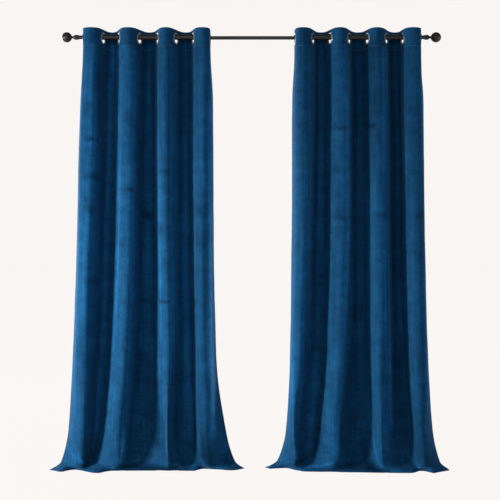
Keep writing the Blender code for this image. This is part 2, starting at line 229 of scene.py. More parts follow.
LEFT_CREASES = (
    Crease("front_1", 13, 3, 0.30, (
        At(-757, -70, 0.7), At(-758, -650), At(-785, -1070, 0.8), At(-793, -1450, 0.3))),
    Crease("front_1_side", 10, 1, 0.24, (
        At(-745, -300, 0.4), At(-742, -750), At(-748, -1070), At(-762, -1450, 0.8), At(-775, -1750, 0.2))),
    Crease("edge_shade", 12, 0, -0.26, (At(-843, -1400, 0.0), At(-850, -1640, 0.9), At(-862, -1850, 0.5))),
    Crease("front_2", 12, 4, 0.28, (
        At(-561, -70, 0.9), At(-564, -600), At(-568, -900), At(-572, -1400), At(-588, -1750, 0.7),
        At(-600, -1850, 0.2))),
    Crease("front_3_foot_shade", 16, 0, -0.26, (At(-412, -1780, 0.2), At(-410, -1900), At(-412, -2010))),
    Crease("return_4_foot", 22, 0, 0.20, (At(-172, -1700, 0.4), At(-162, -1860), At(-130, -1980))),
    Crease("front_3", 13, 4, 0.38, (
        At(-372, -70, 0.8), At(-371, -700), At(-372, -1400), At(-390, -1700, 0.1))),
    Crease("front_3_top_shade", 22, 0, -0.30, (At(-430, -60), At(-430, -350, 0.7), At(-432, -650, 0.0))),
    Crease("front_4", 10, 2, 0.22, (At(-232, -70, 0.8), At(-230, -700))),
    Crease("front_4_shade", 20, 0, -0.46, (
        At(-258, -60, 0.8), At(-258, -350, 0.6), At(-258, -650, 0.5), At(-252, -1700, 0.6),
        At(-240, -2040))),
    Crease("front_4_groove", 6, -2.4, -0.35, (
        At(-219, -800, 0.5), At(-220, -1100), At(-216, -1500, 0.8), At(-212, -1700, 0.2))),
    Crease("front_4_foot_shade", 12, 0, -0.50, (
        At(-228, -1820, 0.2), At(-226, -1930, 0.7), At(-222, -2010), At(-205, -2040, 0.5))),
    Crease("return_4", 10, 3.4, 1.0, (
        At(-196, 50, 0.0), At(-194, -300, 0.5), At(-194, -850, 0.8), At(-195, -1150), At(-193, -1450),
        At(-190, -1640), At(-189, -1760, 0.6), At(-190, -1920, 0.3), At(-192, -2000, 0.0))),
    Crease("valley_1_pale", 22, 0, 0.24, (
        At(-670, -60), At(-700, -900, 0.8), At(-728, -1640, 0.5), At(-755, -1880, 0.8))),
    Crease("valley_2_pale", 24, 0, 0.15, (At(-500, -200, 0.7), At(-500, -1500))),
    Crease("valley_3_pale", 20, 0, 0.30, (
        At(-324, -500, 0.5), At(-322, -1200), At(-312, -1640), At(-304, -1920, 0.6))),
    Crease("rim_2", 4, 0, 0.30, (
        At(-620, -120, 0.1), At(-623, -358, 0.6), At(-629, -676), At(-632, -904), At(-641, -1151),
        At(-651, -1341, 0.7), At(-663, -1526, 0.3), At(-675, -1680, 0.0))),
    Crease("rim_3", 4, 0, 0.26, (
        At(-445, -120, 0.1), At(-445, -358, 0.4), At(-439, -676), At(-439, -904), At(-436, -1151),
        At(-432, -1403, 0.5), At(-426, -1588, 0.0))),
    Crease("rim_4", 4, 0, 0.16, (
        At(-273, -120, 0.2), At(-273, -676), At(-271, -1403, 0.8), At(-266, -1650, 0.0))),
    Crease("flare_1", 8, 2, 0.16, (
        At(-900, -1940, 0.0), At(-882, -1975, 0.8), At(-838, -2015), At(-799, -2039, 0.7))),
    Crease("toe_1", 5, 2.5, 0.30, (At(-832, -1960, 0.0), At(-822, -2005, 0.8), At(-797, -2042))),
    Crease("toe_1_shade", 11, -1.5, -0.55, (At(-796, -2052, 0.8), At(-765, -2030), At(-745, -1940, 0.5))),
    Crease("crest_2", 6, 2.8, 0.20, (
        At(-545, -120, 0.4), At(-578, -780, 0.5), At(-588, -1500, 0.4), At(-598, -1870, 0.7),
        At(-614, -1980), At(-622, -2034), At(-643, -2058), At(-690, -2071, 0.5))),
    Crease("toe_2_shade", 11, 0, -0.75, (
        At(-615, -2064, 0.7), At(-520, -2068), At(-420, -2070), At(-300, -2074, 0.7))),
    Crease("front_2_foot", 8, 1, 0.50, (
        At(-606, -1800, 0.1), At(-611, -1900, 0.8), At(-620, -1980), At(-630, -2030, 0.7))),
    Crease("valley_2", 17, -12, -0.34, (
        At(-430, -1640, 0.0), At(-430, -1740, 0.3), At(-434, -1860, 0.8), At(-437, -1960),
        At(-436, -2030, 0.9))),
    Crease("crest_3", 4.5, 2.8, 0.24, (
        At(-426, -1640, 0.0), At(-421, -1797, 0.6), At(-409, -1864, 0.9), At(-404, -1926), At(-399, -1990),
        At(-392, -2036), At(-384, -2048), At(-318, -2062), At(-254, -2056, 0.6))),
    Crease("crest_4_edge", 5, 1.6, 0.26, (
        At(-268, -1700, 0.3), At(-262, -1862, 0.8), At(-246, -2009), At(-222, -2058, 0.9),
        At(-160, -2068, 0.4))),
    Crease("crest_4", 6, 2.4, 0.24, (
        At(-186, -850, 0.3), At(-181, -1380, 0.7), At(-179, -1590), At(-184, -1735), At(-189, -1870, 0.9),
        At(-193, -1980, 0.1))),
    Crease("crush_11", 9, -2.1, -0.29, (At(-546, -1656, 0.6), At(-480, -1664), At(-420, -1658, 0.5))))

LEFT_MARKS = (
    Mark(15, -1.2, -0.30, -780, -795, -760, -830, 0.8),
    Mark(13, -1.2, -0.34, -515, -846, -495, -858, 0.8),
    Mark(11, -1.4, -0.30, -436, -905, -428, -940, 0.7),
    Mark(15, -1.2, -0.22, -262, -970, -205, -985, 1.0, 0.7),
    Mark(13, -1, -0.26, -266, -810, -250, -840, 0.7),
    Mark(11, -1, -0.26, -256, -1270, -240, -1282, 1.0, 0.8),
    Mark(14, -1.2, -0.27, -795, -360, -770, -340, 0.6),
    Mark(11, -1, -0.26, -600, -385, -585, -400, 1.0, 0.7),
    Mark(7, -1.6, -0.43, -782, -491, -756, -493, 0.9),
    Mark(9, -2.1, -0.34, -799, -676, -742, -674, 0.7),
    Mark(8, -2.2, -0.37, -430, -646, -402, -650),
    Mark(6, -2.4, -0.43, -628, -728, -575, -736, 0.6),
    Mark(9, -1.9, -0.29, -512, -846, -492, -850),
    Mark(9, -1.9, -0.31, -775, -1172, -745, -1176, 0.8),
    Mark(7, -2.2, -0.37, -533, -1272, -484, -1268, 1.0, 0.7),
    Mark(5, -2.6, -0.80, -434, -1271, -397, -1269, 0.8),
    Mark(7, -1.6, -0.31, -614, -1268, -602, -1272),
    Mark(7, -1.9, -0.34, -616, -1490, -600, -1496),
    Mark(5, -1.5, -0.24, -428, -915, -420, -935, 0.8),
    Mark(5, -1.5, -0.22, -423, -990, -412, -1004, 1.0, 0.7),
    Mark(6, -1.2, -0.20, -430, -1035, -418, -1075, 0.8),
    Mark(5, -1.2, -0.18, -616, -920, -608, -935, 0.8),
    Mark(5, -1.2, -0.18, -612, -1000, -603, -1020, 1.0, 0.7),
    Mark(5, -1.2, -0.20, -425, -858, -408, -862, 0.8))

# Right panel: the shade and deep creases are painted shade; the pale, left, limit, front and rim creases are
# painted light and highlights; the crests are lifted ridges with painted highlights along them; crush_1 is a
# crush mark.
RIGHT_CREASES = (
    Crease("front_1", 12, 3, 0.28, (
        At(262, -70, 0.9), At(261, -800), At(252, -1350, 0.8), At(232, -1650, 0.8), At(222, -1850, 0.1))),
    Crease("front_1_top_shade", 20, 0, -0.42, (At(243, 30), At(243, -450, 0.8), At(242, -900, 0.2))),
    Crease("front_1_limit", 4, 1.8, 0.34, (
        At(277, -60, 0.5), At(277, -780), At(270, -1400, 0.8), At(262, -1600, 0.1))),
    Crease("front_1_foot_shade", 12, 0, -0.20, (At(192, -1780, 0.3), At(188, -1880), At(174, -2000))),
    Crease("valley_1_pale", 20, 0, 0.16, (
        At(336, -400, 0.0), At(330, -880), At(322, -1200, 0.5), At(310, -1500, 0.8), At(277, -1860, 2.0),
        At(262, -1980, 0.2))),
    Crease("valley_1_left", 7, 0, 0.24, (At(291, -300, 0.4), At(291, -780), At(284, -1500, 0.8))),
    Crease("valley_2_left", 7, 0, 0.24, (At(474, -300, 0.4), At(474, -780), At(468, -1500, 0.8))),
    Crease("valley_3_left", 7, 0, 0.24, (At(664, -300, 0.4), At(666, -780), At(674, -1500, 0.8))),
    Crease("front_2", 13, 3.6, 0.36, (
        At(446, -70, 0.9), At(449, -900), At(441, -1350, 0.8), At(423, -1700, 0.3))),
    Crease("front_3", 14, 4, 0.36, (
        At(630, -70, 0.9), At(632, -900), At(642, -1400, 0.9), At(666, -1860, 0.6), At(668, -1960, 0.0))),
    Crease("front_2_shade", 18, 0, -0.30, (
        At(404, -40, 0.6), At(404, -500, 0.5), At(404, -900, 0.9), At(400, -1300), At(390, -1500, 0.3))),
    Crease("front_2_foot", 9, 1, 0.50, (At(408, -1700, 0.4), At(401, -1880), At(398, -2010, 0.8))),
    Crease("front_2_foot_shade", 10, 0, -0.45, (At(345, -1740, 0.5), At(326, -1900), At(306, -2010, 0.8))),
    Crease("front_3_top_shade", 22, 0, -0.60, (At(578, -40), At(578, -420, 0.8), At(580, -800, 0.0))),
    Crease("front_4", 14, 2, 0.14, (
        At(790, -70, 0.9), At(795, -900), At(805, -1500, 0.8), At(805, -1800, 0.1))),
    Crease("front_4_foot_shade", 20, 0, -0.24, (At(800, -1840, 0.4), At(808, -2000))),
    Crease("front_4_top_shade", 22, 0, -0.30, (
        At(745, -40), At(750, -500, 0.8), At(760, -1000, 0.3), At(775, -1800, 0.3), At(800, -2020, 0.9))),
    Crease("valley_2_shade", 18, 0, -0.60, (At(545, -1930, 0.2), At(552, -2000), At(570, -2040))),
    Crease("crest_1", 4, 2.8, 0.30, (
        At(191, -1380, 0.0), At(192, -1490, 0.7), At(198, -1617), At(199, -1800), At(201, -1912),
        At(212, -2020, 0.9), At(207, -2036, 0.3))),
    Crease("toe_1_shade", 10, 0, -0.60, (At(212, -2044, 0.9), At(240, -2036), At(285, -2010, 0.4))),
    Crease("crest_2", 4.5, 2.6, 0.34, (
        At(460, -120, 0.6), At(460, -780), At(458, -1100, 0.9), At(445, -1380, 0.4), At(420, -1735, 0.4),
        At(411, -1950), At(408, -2016), At(394, -2034), At(350, -2052, 0.9), At(278, -2062, 0.4))),
    Crease("toe_2_shade", 10, 0, -0.70, (
        At(350, -2070, 0.6), At(430, -2058), At(560, -2064), At(640, -2074, 0.8))),
    Crease("rim_2", 4, 0, 0.20, (
        At(381, -120, 0.2), At(381, -550, 0.7), At(377, -904), At(375, -1213), At(372, -1403, 0.6),
        At(359, -1650, 0.0))),
    Crease("rim_3", 4, 0, 0.16, (
        At(558, -120, 0.0), At(558, -550, 0.5), At(564, -904), At(567, -1275), At(570, -1526, 0.3))),
    Crease("front_3_foot_pale", 16, 0, 0.16, (
        At(636, -1650, 0.0), At(640, -1780), At(645, -1960, 0.8), At(650, -2020, 0.0))),
    Crease("crest_3_edge", 5, 2.4, 0.27, (
        At(560, -1500, 0.2), At(567, -1735, 0.6), At(576, -1854, 0.8), At(594, -1983, 0.9), At(609, -2040),
        At(632, -2057), At(686, -2071, 0.9), At(739, -2076, 0.5))),
    Crease("crest_3", 4.5, 2, 0.44, (
        At(645, -60, 0.5), At(653, -785, 0.8), At(658, -1270), At(664, -1735, 0.8), At(667, -1930, 0.5))),
    Crease("valley_2_deep", 22, 0, -0.30, (At(507, -60), At(507, -650, 0.3))),
    Crease("valley_3_deep", 22, 0, -0.26, (
        At(700, -60), At(705, -900, 0.8), At(720, -1500, 0.6), At(738, -1900, 0.8))),
    Crease("crest_4_edge", 5, 1.6, 0.20, (
        At(750, -1650, 0.3), At(765, -1854, 0.7), At(780, -1972), At(803, -2056, 0.9))),
    Crease("crest_4", 5.5, 2.4, 0.20, (
        At(803, -60, 0.3), At(825, -904, 0.4), At(826, -1210, 0.5), At(836, -1530, 0.7),
        At(831, -1735, 0.9), At(828, -1900, 0.9), At(816, -2018, 0.9), At(807, -2056, 0.9))),
    Crease("crush_1", 6, -2.4, -0.40, (At(388, -440, 0.6), At(430, -446), At(462, -441, 0.7))))

RIGHT_MARKS = (
    Mark(13, -1.2, -0.18, 412, -866, 436, -880, 0.8),
    Mark(10, -1.2, -0.34, 484, -880, 520, -886, 0.8),
    Mark(13, -1.2, -0.30, 628, -856, 654, -870, 1.0, 0.8),
    Mark(13, -1.4, -0.24, 764, -1030, 784, -1038, 0.9),
    Mark(13, -1, -0.16, 766, -880, 795, -862, 1.0, 0.6),
    Mark(15, -1, -0.22, 216, -1020, 244, -1050, 0.7),
    Mark(13, -1.2, -0.26, 590, -300, 610, -325, 0.7),
    Mark(13, -1, -0.26, 400, -640, 425, -655, 1.0, 0.6),
    Mark(9, -1.9, -0.37, 562, -427, 580, -431),
    Mark(9, -1.6, -0.31, 238, -430, 255, -427),
    Mark(8, -2, -0.20, 404, -862, 446, -868, 0.7),
    Mark(5, 1.2, 0.20, 390, -897, 430, -893, 0.7),
    Mark(8, -2.1, -0.18, 762, -1026, 786, -1030, 0.7),
    Mark(9, -1.8, -0.31, 351, -1672, 387, -1676),
    Mark(9, -1.9, -0.31, 502, -1308, 503, -1364, 0.7),
    Mark(9, -1.9, -0.31, 290, -1500, 362, -1505, 0.7))


def as_creases(marks):
    """The marks as creases with two spots each."""
    return tuple(Crease("mark", mark.width, mark.lift, mark.light, (
        At(mark.x, mark.z, mark.share), At(mark.to_x, mark.to_z, mark.to_share))) for mark in marks)


Panel = namedtuple("Panel", ("side", "turns", "hem", "creases", "seed"))
PANELS = (
    Panel("left", LEFT_TURNS, LEFT_HEM, LEFT_CREASES + as_creases(LEFT_MARKS), 3.0),
    Panel("right", RIGHT_TURNS, RIGHT_HEM, RIGHT_CREASES + as_creases(RIGHT_MARKS), 11.0))


# The cloth's section, as in the solids

def blend_slopes(heights, values):
    """Slopes for a smooth curve through values at falling heights, with no overshoot."""
    runs = [(values[i + 1] - values[i]) / (heights[i + 1] - heights[i]) for i in range(len(values) - 1)]
    slopes = [0.0]
    for before, after in zip(runs, runs[1:]):
        same_way = before * after > 0.0
        slopes.append(2.0 * before * after / (before + after) if same_way else 0.0)
    slopes.append(runs[-1])
    return slopes


def hermite(start, end, start_slope, end_slope, t):
    """A cubic from start to end, t from 0 to 1, with a slope at each end."""
    rise = t * t * (3.0 - 2.0 * t)
    return (start + (end - start) * rise
            + start_slope * t * (1.0 - t) ** 2 - end_slope * t * t * (1.0 - t))


def at_height(heights, values, z):
    """The value at height z, constant above the first height and below the last."""
    if z >= heights[0]:
        return values[0]
    if z <= heights[-1]:
        return values[-1]
    slopes = blend_slopes(heights, values)
    i = max(n for n in range(len(heights) - 1) if heights[n] > z)
    span = heights[i + 1] - heights[i]
    return hermite(values[i], values[i + 1], slopes[i] * span, slopes[i + 1] * span, (z - heights[i]) / span)


def turn_at(turn, z):
    """Where a turn of the cloth lies at a height, and how broadly it turns there."""
    along = (turn.x_rail, turn.x_chest, turn.x_mid, turn.x_low, turn.x_knee, turn.x_break, turn.x_floor)
    deep = (turn.y_rail, turn.y_mid, turn.y_knee, turn.y_break)
    broad = (turn.round_rail, turn.round_low, turn.round_knee, turn.round_floor)
    return at_height(X_HEIGHTS, along, z), at_height(Y_HEIGHTS, deep, z), at_height(ROUND_HEIGHTS, broad, z)


def between(start, end, t):
    """A point of the cloth's section between two turns, straight across the middle, where an eyelet sits."""
    if FLAT_START < t < FLAT_END:
        near = between(start, end, FLAT_START)
        far = between(start, end, FLAT_END)
        share = (t - FLAT_START) / (FLAT_END - FLAT_START)
        return near[0] + (far[0] - near[0]) * share, near[1] + (far[1] - near[1]) * share
    x = hermite(start[0], end[0], start[2], end[2], t)
    y = hermite(start[1], end[1], 0.0, 0.0, t)
    return x, y


def hem_depth(hem, x):
    """How deep the hem lies on the floor at x, read from the left end of its table."""
    return at_height([-spot.x for spot in hem], [spot.y for spot in hem], -x)


def section(turns, hem, z):
    """The cloth's section at a height, from its left edge to its right edge. Below the break its
    folds give way to the line of the hem on the floor."""
    spots = [turn_at(turn, z) for turn in turns]
    steps = [n / COLUMNS_A_TURN for n in range(COLUMNS_A_TURN)]
    points = [between(start, end, t) for start, end in zip(spots, spots[1:]) for t in steps]
    points.append(between(spots[-2], spots[-1], 1.0))
    lying = max(0.0, (BREAK - z) / (BREAK - FLOOR))
    return [(x, y + (hem_depth(hem, x) - y) * lying) for x, y in points]


def even_steps(top, foot, count):
    """Heights from just under top down to foot, evenly spaced."""
    return [top + (foot - top) * n / count for n in range(1, count + 1)]


def row_heights():
    """The heights of the cloth's rows, from its top edge to the floor."""
    rows = [HEAD_TOP]
    for part in CLOTH_ROWS:
        rows += even_steps(rows[-1], part.down_to, part.count)
    return rows


def eyelet_places(turns):
    """For each eyelet, its centre and the direction of its axis."""
    spots = [turn_at(turn, BAND_FOOT) for turn in turns]
    places = []
    for start, end in zip(spots, spots[1:]):
        near = Vector((*between(start, end, FLAT_START), 0.0))
        far = Vector((*between(start, end, FLAT_END), 0.0))
        along = (far - near).normalized()
        centre = (near + far) / 2.0
        centre.z = -EYELET_DROP
        places.append((centre, Vector((-along.y, along.x, 0.0))))
    return places


def link(name, data, *finishes):
    """Link a mesh as a named object with its materials."""
    for finish in finishes:
        data.materials.append(finish)
    made = bpy.data.objects.new(name, data)
    bpy.context.scene.collection.objects.link(made)
    return made


# Materials

def shader_of(name):
    """A new material, its tree and its Principled shader."""
    made = bpy.data.materials.new(name)
    made.use_nodes = True
    tree = made.node_tree
    return made, tree, tree.nodes["Principled BSDF"]


def adjust(node, **settings):
    """Settings name a node's properties, or its inputs with spaces as underscores."""
    for key, value in settings.items():
        if hasattr(node, key):
            setattr(node, key, value)
        else:
            node.inputs[key.replace("_", " ")].default_value = value


def add(tree, kind, **settings):
    """A new node of a kind, adjusted."""
    node = tree.nodes.new(kind)
    adjust(node, **settings)
    return node


def noise_at(tree, scale, detail, roughness, stretch=(1.0, 1.0, 1.0)):
    """A noise texture in object space, stretched by a vector."""
    place = add(tree, "ShaderNodeTexCoord")
    mapping = add(tree, "ShaderNodeMapping", Scale=stretch)
    pattern = add(tree, "ShaderNodeTexNoise", Scale=scale, Detail=detail, Roughness=roughness)
    tree.links.new(place.outputs["Object"], mapping.inputs["Vector"])
    tree.links.new(mapping.outputs["Vector"], pattern.inputs["Vector"])
    return pattern.outputs["Fac"]


def ramp(tree, source, stops):
    """A colour ramp of (position, colour) stops on a factor."""
    node = add(tree, "ShaderNodeValToRGB")
    elements = node.color_ramp.elements
    while len(elements) < len(stops):
        elements.new(0.5)
    for element, (position, colour) in zip(elements, stops):
        element.position = position
        element.color = (*colour, 1.0)
    tree.links.new(source, node.inputs["Fac"])
    return node.outputs["Color"]


def multiply(tree, first, second):
    """Two colours multiplied."""
    node = add(tree, "ShaderNodeMix", data_type="RGBA", blend_type="MULTIPLY", Factor=1.0)
    tree.links.new(first, node.inputs["A"])
    tree.links.new(second, node.inputs["B"])
    return node.outputs["Result"]


def bump(tree, source, distance, strength, below=None):
    """A bump of a height in metres, on top of another bump."""
    node = add(tree, "ShaderNodeBump", Strength=strength, Distance=distance)
    tree.links.new(source, node.inputs["Height"])
    if below is not None:
        tree.links.new(below, node.inputs["Normal"])
    return node.outputs["Normal"]


def vary_roughness(tree, shader, source, low, high):
    """Let a factor take the shader's roughness from low to high."""
    reach = add(tree, "ShaderNodeMapRange", To_Min=low, To_Max=high)
    tree.links.new(source, reach.inputs["Value"])
    tree.links.new(reach.outputs["Result"], shader.inputs["Roughness"])


def velvet_material():
    """Deep blue short-pile velvet: a dark base, a blue sheen, faint cloudy crushing, upright streaks in the
    pile, and the creases' painted light and shade, with the crush marks' darker pile."""
    made, tree, shader = shader_of("blue_velvet")
    crush = noise_at(tree, scale=13.0, detail=4.0, roughness=0.62, stretch=(1.0, 1.0, 1.6))
    streaks = noise_at(tree, scale=70.0, detail=3.0, roughness=0.60, stretch=(1.0, 1.0, 0.04))
    lines = noise_at(tree, scale=330.0, detail=2.0, roughness=0.70, stretch=(1.0, 1.0, 0.03))
    pile = noise_at(tree, scale=1500.0, detail=2.0, roughness=0.60)
    tone = ramp(tree, crush, ((0.32, (0.0036, 0.035, 0.092)), (0.50, (0.0046, 0.043, 0.110)),
                              (0.68, (0.0062, 0.053, 0.132))))
    tone = multiply(tree, tone, ramp(tree, streaks, ((0.32, (0.74, 0.76, 0.78)), (0.68, (1.08, 1.07, 1.06)))))
    tone = multiply(tree, tone, ramp(tree, lines, ((0.35, (0.78, 0.80, 0.82)), (0.66, (1.10, 1.09, 1.08)))))
    flecks = noise_at(tree, scale=38.0, detail=4.0, roughness=0.66, stretch=(1.0, 1.0, 1.7))
    tone = multiply(tree, tone, ramp(tree, flecks, ((0.55, (1.0, 1.0, 1.0)), (0.70, (0.60, 0.66, 0.72)))))
    # The creases' painted light and shade and the crush marks' darker pile, as a factor: below the middle it
    # darkens the colour as painted shade and crushed pile, above it pales and greys it as painted light and
    # highlights.
    pile_and_painted_light = add(tree, "ShaderNodeAttribute", attribute_name="nap_and_painted_light")
    tone = multiply(tree, tone, ramp(tree, pile_and_painted_light.outputs["Fac"], (
        (0.0, (0.10, 0.12, 0.16)), (0.5, (1.0, 1.0, 1.0)), (0.68, (1.5, 1.9, 2.0)), (0.85, (4.0, 3.3, 3.0)),
        (1.0, (11.0, 5.0, 4.2)))))
    tree.links.new(tone, shader.inputs["Base Color"])
    adjust(shader, Roughness=0.75, Specular_IOR_Level=0.015, Sheen_Weight=0.46, Sheen_Roughness=0.30,
           Sheen_Tint=(0.120, 0.420, 0.800, 1.0))
    soft = bump(tree, crush, distance=0.0016, strength=0.50)
    ribbed = bump(tree, streaks, distance=0.0010, strength=0.35, below=soft)
    fine = bump(tree, pile, distance=0.0003, strength=0.50, below=ribbed)
    tree.links.new(fine, shader.inputs["Normal"])
    return made


def backing_material():
    """The velvet's back: a dull, closely woven ground, a little greyer than the pile."""
    made, tree, shader = shader_of("woven_backing")
    warp = noise_at(tree, scale=900.0, detail=2.0, roughness=0.60, stretch=(1.0, 1.0, 0.10))
    weft = noise_at(tree, scale=900.0, detail=2.0, roughness=0.60, stretch=(0.08, 0.08, 1.0))
    slub = noise_at(tree, scale=26.0, detail=3.0, roughness=0.60, stretch=(1.0, 1.0, 0.30))
    tone = ramp(tree, slub, ((0.35, (0.012, 0.048, 0.105)), (0.65, (0.017, 0.062, 0.130))))
    tone = multiply(tree, tone, ramp(tree, warp, ((0.40, (0.72, 0.74, 0.76)), (0.60, (1.0, 1.0, 1.0)))))
    tone = multiply(tree, tone, ramp(tree, weft, ((0.40, (0.72, 0.74, 0.76)), (0.60, (1.0, 1.0, 1.0)))))
    tree.links.new(tone, shader.inputs["Base Color"])
    adjust(shader, Roughness=0.85, Specular_IOR_Level=0.10)
    upright = bump(tree, warp, distance=0.0004, strength=0.40)
    level = bump(tree, weft, distance=0.0004, strength=0.40, below=upright)
    tree.links.new(level, shader.inputs["Normal"])
    return made


def thread_material():
    """Sewing thread, a little lighter than the cloth."""
    made, tree, shader = shader_of("blue_thread")
    twist = noise_at(tree, scale=2500.0, detail=1.0, roughness=0.5)
    tree.links.new(ramp(tree, twist, ((0.35, (0.020, 0.110, 0.220)), (0.65, (0.050, 0.190, 0.340)))),
                   shader.inputs["Base Color"])
    adjust(shader, Roughness=0.60)
    return made


def rod_material():
    """Satin black enamel on steel, with a faint warm mottle."""
    made, tree, shader = shader_of("black_enamel")
    mottle = noise_at(tree, scale=60.0, detail=5.0, roughness=0.65)
    tree.links.new(ramp(tree, mottle, ((0.35, (0.006, 0.0055, 0.0055)), (0.70, (0.010, 0.0085, 0.008)))),
                   shader.inputs["Base Color"])
    vary_roughness(tree, shader, mottle, low=0.30, high=0.46)
    adjust(shader, Specular_IOR_Level=0.24, Coat_Weight=0.06, Coat_Roughness=0.22)
    grain = noise_at(tree, scale=700.0, detail=3.0, roughness=0.6)
    tree.links.new(bump(tree, grain, distance=0.0002, strength=0.10), shader.inputs["Normal"])
    return made


def eyelet_material():
    """Satin plated metal with faint handling marks."""
    made, tree, shader = shader_of("plated_metal")
    marks = noise_at(tree, scale=120.0, detail=6.0, roughness=0.70)
    tree.links.new(ramp(tree, marks, ((0.30, (0.36, 0.37, 0.40)), (0.70, (0.48, 0.49, 0.52)))),
                   shader.inputs["Base Color"])
    adjust(shader, Metallic=1.0)
    vary_roughness(tree, shader, marks, low=0.38, high=0.55)
    return made


# Cloth

def surface_points(turns, hem, heights):
    """The cloth's middle surface as an array: rows, columns, xyz."""
    return np.array([[(x, y, z) for x, y in section(turns, hem, z)] for z in heights])


def surface_normals(points):
    """Unit normals of the surface, pointing to the room where the cloth faces it."""
    across = np.gradient(points, axis=1)
    down = np.gradient(points, axis=0)
    normals = np.cross(down, across)
    return normals / np.linalg.norm(normals, axis=2, keepdims=True)


def ripple(points, seed):
    """Small soft unevenness of hanging cloth, in metres along the normal."""
    rows, columns, _ = points.shape
    lift = np.zeros((rows, columns))
    for row in range(rows):
        z = points[row, 0, 2]
        eased = min(1.0, max(0.0, (BAND_FOOT - z) / WAVES_FADE_IN))
        if eased == 0.0:
            continue
        for column in range(columns):
            across = column / COLUMNS_A_TURN
            lift[row, column] = eased * sum(
                wave.height * noise.noise(Vector((across * wave.across, z * wave.down, seed + wave.start)))
                for wave in WAVES)
    return lift


def cut_holes(work, turns):
    """Cut a round hole for each eyelet and pull its rim to a true circle, hidden under the ring."""
    for centre, axis in eyelet_places(turns):
        near = [v for v in work.verts if (v.co - centre).length < CLOTH_HOLE]
        bmesh.ops.delete(work, geom=near, context="VERTS")
        rim = [v for v in work.verts if v.is_boundary and v.co.z < HEAD_TOP - RIM_BELOW_TOP
               and (v.co - centre).length < RIM_REACH * CLOTH_HOLE]
        for v in rim:
            out = v.co - centre
            out -= axis * out.dot(axis)
            v.co = centre + out.normalized() * CLOTH_HOLE


def crease_share(points, crease):
    """How strongly a crease is felt at each point, by its distance from the path in the front view."""
    seen = points[:, :, (0, 2)]
    felt = np.zeros(seen.shape[:2])
    width = crease.width / MILLIMETRES
    for start, end in zip(crease.path, crease.path[1:]):
        foot = np.array((start.x, start.z)) / MILLIMETRES
        run = np.array((end.x, end.z)) / MILLIMETRES - foot
        along = np.clip(((seen - foot) @ run) / (run @ run), 0.0, 1.0)
        gap = np.linalg.norm(seen - foot - along[:, :, None] * run, axis=2)
        share = start.share + (end.share - start.share) * along
        felt = np.maximum(felt, share * np.exp(-0.5 * (gap / width) ** 2))
    return felt


def seam_lift(heights):
    """The heading's doubled cloth stands proud above its seam, and the stitches pull a groove along it."""
    drop = np.array(heights) - BAND_FOOT
    groove = np.exp(-0.5 * (drop / SEAM_WIDTH) ** 2)
    ledge = np.clip(drop / SEAM_WIDTH, 0.0, 1.0)
    return BAND_EXTRA * ledge - SEAM_DEPTH * groove


def cloth_surface(turns, hem, creases, seed):
    """A panel's middle surface with its creases, its normals, and its painted light and shade with crushed
    pile, as a factor.
    """
    heights = row_heights()
    points = surface_points(turns, hem, heights)
    lift = ripple(points, seed) + seam_lift(heights)[:, None]
    nap_and_painted_light = np.zeros(lift.shape)
    for crease in creases:
        felt = crease_share(points, crease)
        lift += crease.lift / MILLIMETRES * felt
        nap_and_painted_light += crease.light * felt
    points = points + surface_normals(points) * lift[:, :, None]
    return points, surface_normals(points), np.clip(0.5 + 0.5 * nap_and_painted_light, 0.0, 1.0)


def sheet_mesh(name, points, nap_and_painted_light=None):
    """A smooth sheet through a grid of points, with painted light and shade and crushed pile as an attribute.
    """
    rows, columns, _ = points.shape
    faces = []
    for row in range(rows - 1):
        for column in range(columns - 1):
            corner = row * columns + column
            faces.append((corner, corner + columns, corner + columns + 1, corner + 1))
    data = bpy.data.meshes.new(name)
    data.from_pydata(points.reshape(-1, 3).tolist(), [], faces)
    if nap_and_painted_light is not None:
        data.attributes.new("nap_and_painted_light", "FLOAT", "POINT").data.foreach_set("value", nap_and_painted_light.ravel())
    data.shade_smooth()
    return data


def thicken(piece, thickness):
    """Give a sheet its thickness, half on each side; its second material is on its back."""
    sheet = piece.modifiers.new("cloth", "SOLIDIFY")
    sheet.thickness = thickness
    sheet.offset = 0.0
    sheet.material_offset = 1


def curtain(side, turns, points, nap_and_painted_light, velvet, backing):
    """One panel's velvet, as a thin sheet on its solid's folds."""
    data = sheet_mesh("velvet_" + side, points, nap_and_painted_light)
    work = bmesh.new()
    work.from_mesh(data)
    cut_holes(work, turns)
    work.to_mesh(data)
    work.free()
    panel = link("velvet_" + side, data, velvet, backing)
    thicken(panel, CLOTH)
    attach(panel, "root")
    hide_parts("curtain_" + side)
    return panel


def along_cloth(grid, lengths, wanted):
    """Values of a grid at wanted distances along one row or column of the cloth."""
    return np.stack([np.interp(wanted, lengths, grid[:, axis]) for axis in range(3)], axis=1)


def run_lengths(line):
    """Distance along a line of points, from its start."""
    steps = np.linalg.norm(np.diff(line, axis=0), axis=1)
    return np.concatenate(((0.0,), np.cumsum(steps)))


def inward(edge, points, normals):
    """Each row of the cloth with its normals and its running length, inward from a side edge."""
    for line, row_normals in zip(points, normals):
        if edge == "right":
            line, row_normals = line[::-1], row_normals[::-1]
        yield line, row_normals, run_lengths(line)


def side_hem(side, edge, points, normals, backing):
    """The turned edge behind one side of the cloth, from the heading's seam to the floor."""
    across = np.linspace(0.0, SIDE_HEM, HEM_COLUMNS)
    behind = (CLOTH + TURNED_CLOTH) / 2.0 + HEM_GAP
    grid = np.array([along_cloth(line, lengths, across) - behind * along_cloth(row_normals, lengths, across)
                     for line, row_normals, lengths in inward(edge, points, normals)])
    if edge == "right":
        grid = grid[:, ::-1]
    return backed_strip(f"side_hem_{side}_{edge}", grid, backing)


